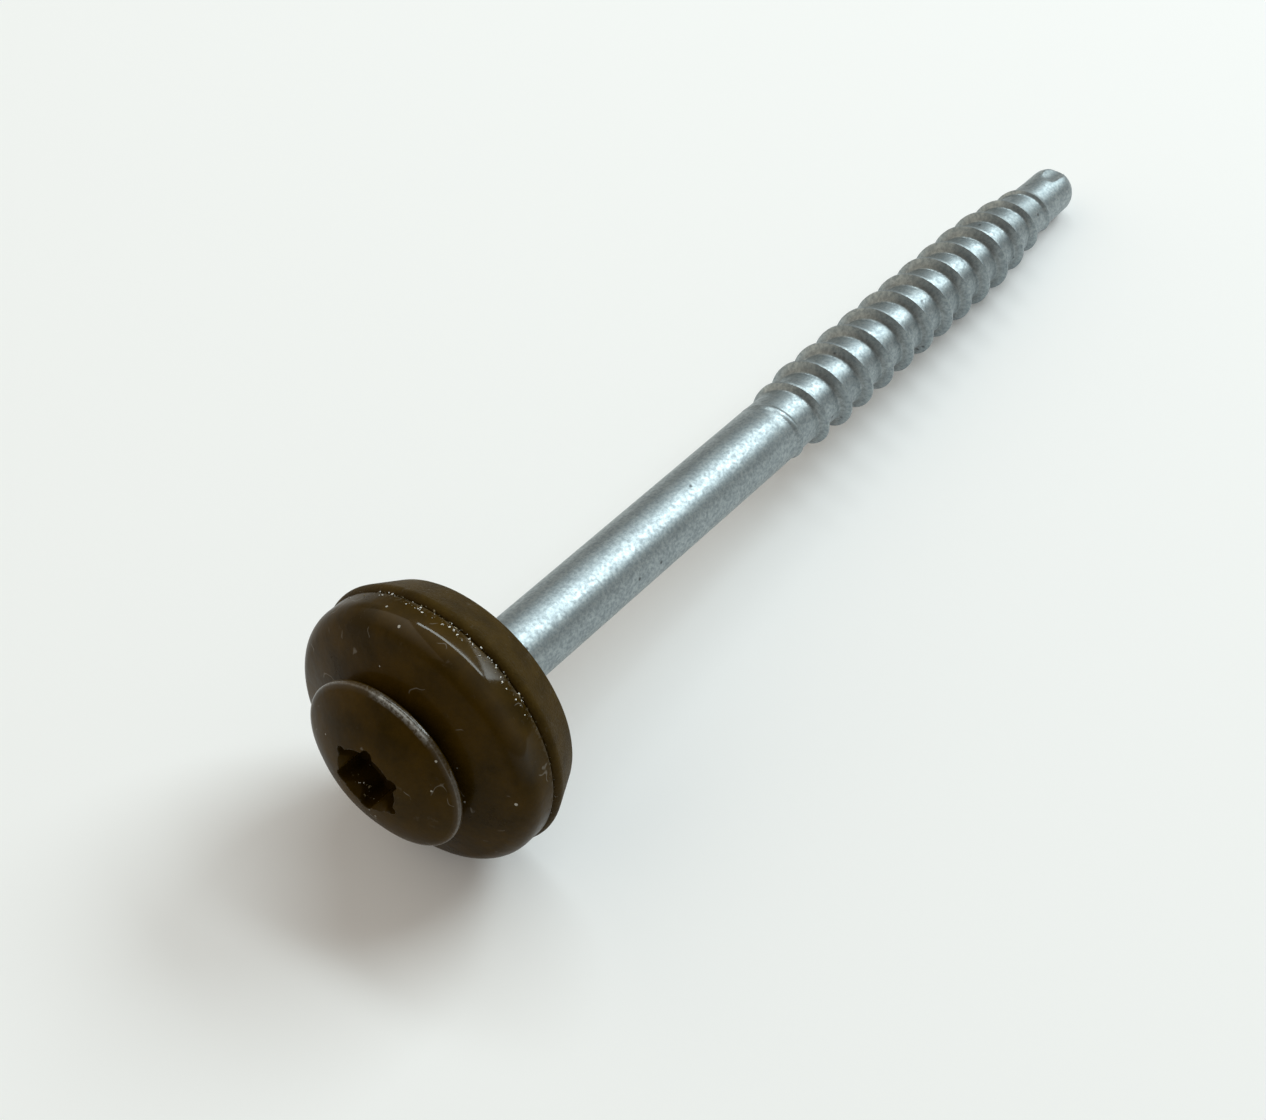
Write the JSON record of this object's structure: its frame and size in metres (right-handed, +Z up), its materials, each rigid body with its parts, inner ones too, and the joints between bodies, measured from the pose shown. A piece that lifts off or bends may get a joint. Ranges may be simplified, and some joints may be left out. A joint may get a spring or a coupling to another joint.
{
  "type": "self-tapping screw with sealing washer",
  "caption": "Self-tapping roofing screw with a low domed six-lobe head, a domed metal cap washer and a thick rubber seal on a plain shank ending in a coarse thread and a blunt nib",
  "frame": {"origin": "The middle of the screw's footprint on the floor that it lies on: z = 0 is the floor, and x = 0 and y = 0 are the middle of its bounding box.", "axes": "+X runs along the screw from the head to the tip, +Y is to its left and +Z is up. The screw's own axis leans down towards the tip by about 5.5 degrees, because it rests on the rim of the seal and on the thread."},
  "size_m": [0.0917, 0.0202, 0.0201],
  "materials": {
    "zinc_steel": "satin zinc plate on the shank and thread; the head carries the same dark brown paint as the cap",
    "painted_cap": "semi-gloss dark brown paint",
    "seal_rubber": "matte dark grey-brown rubber"
  },
  "bodies": {
    "root": {"screw": "zinc_steel", "cap_washer": "painted_cap", "rubber_seal": "seal_rubber"}
  },
  "joints": []
}
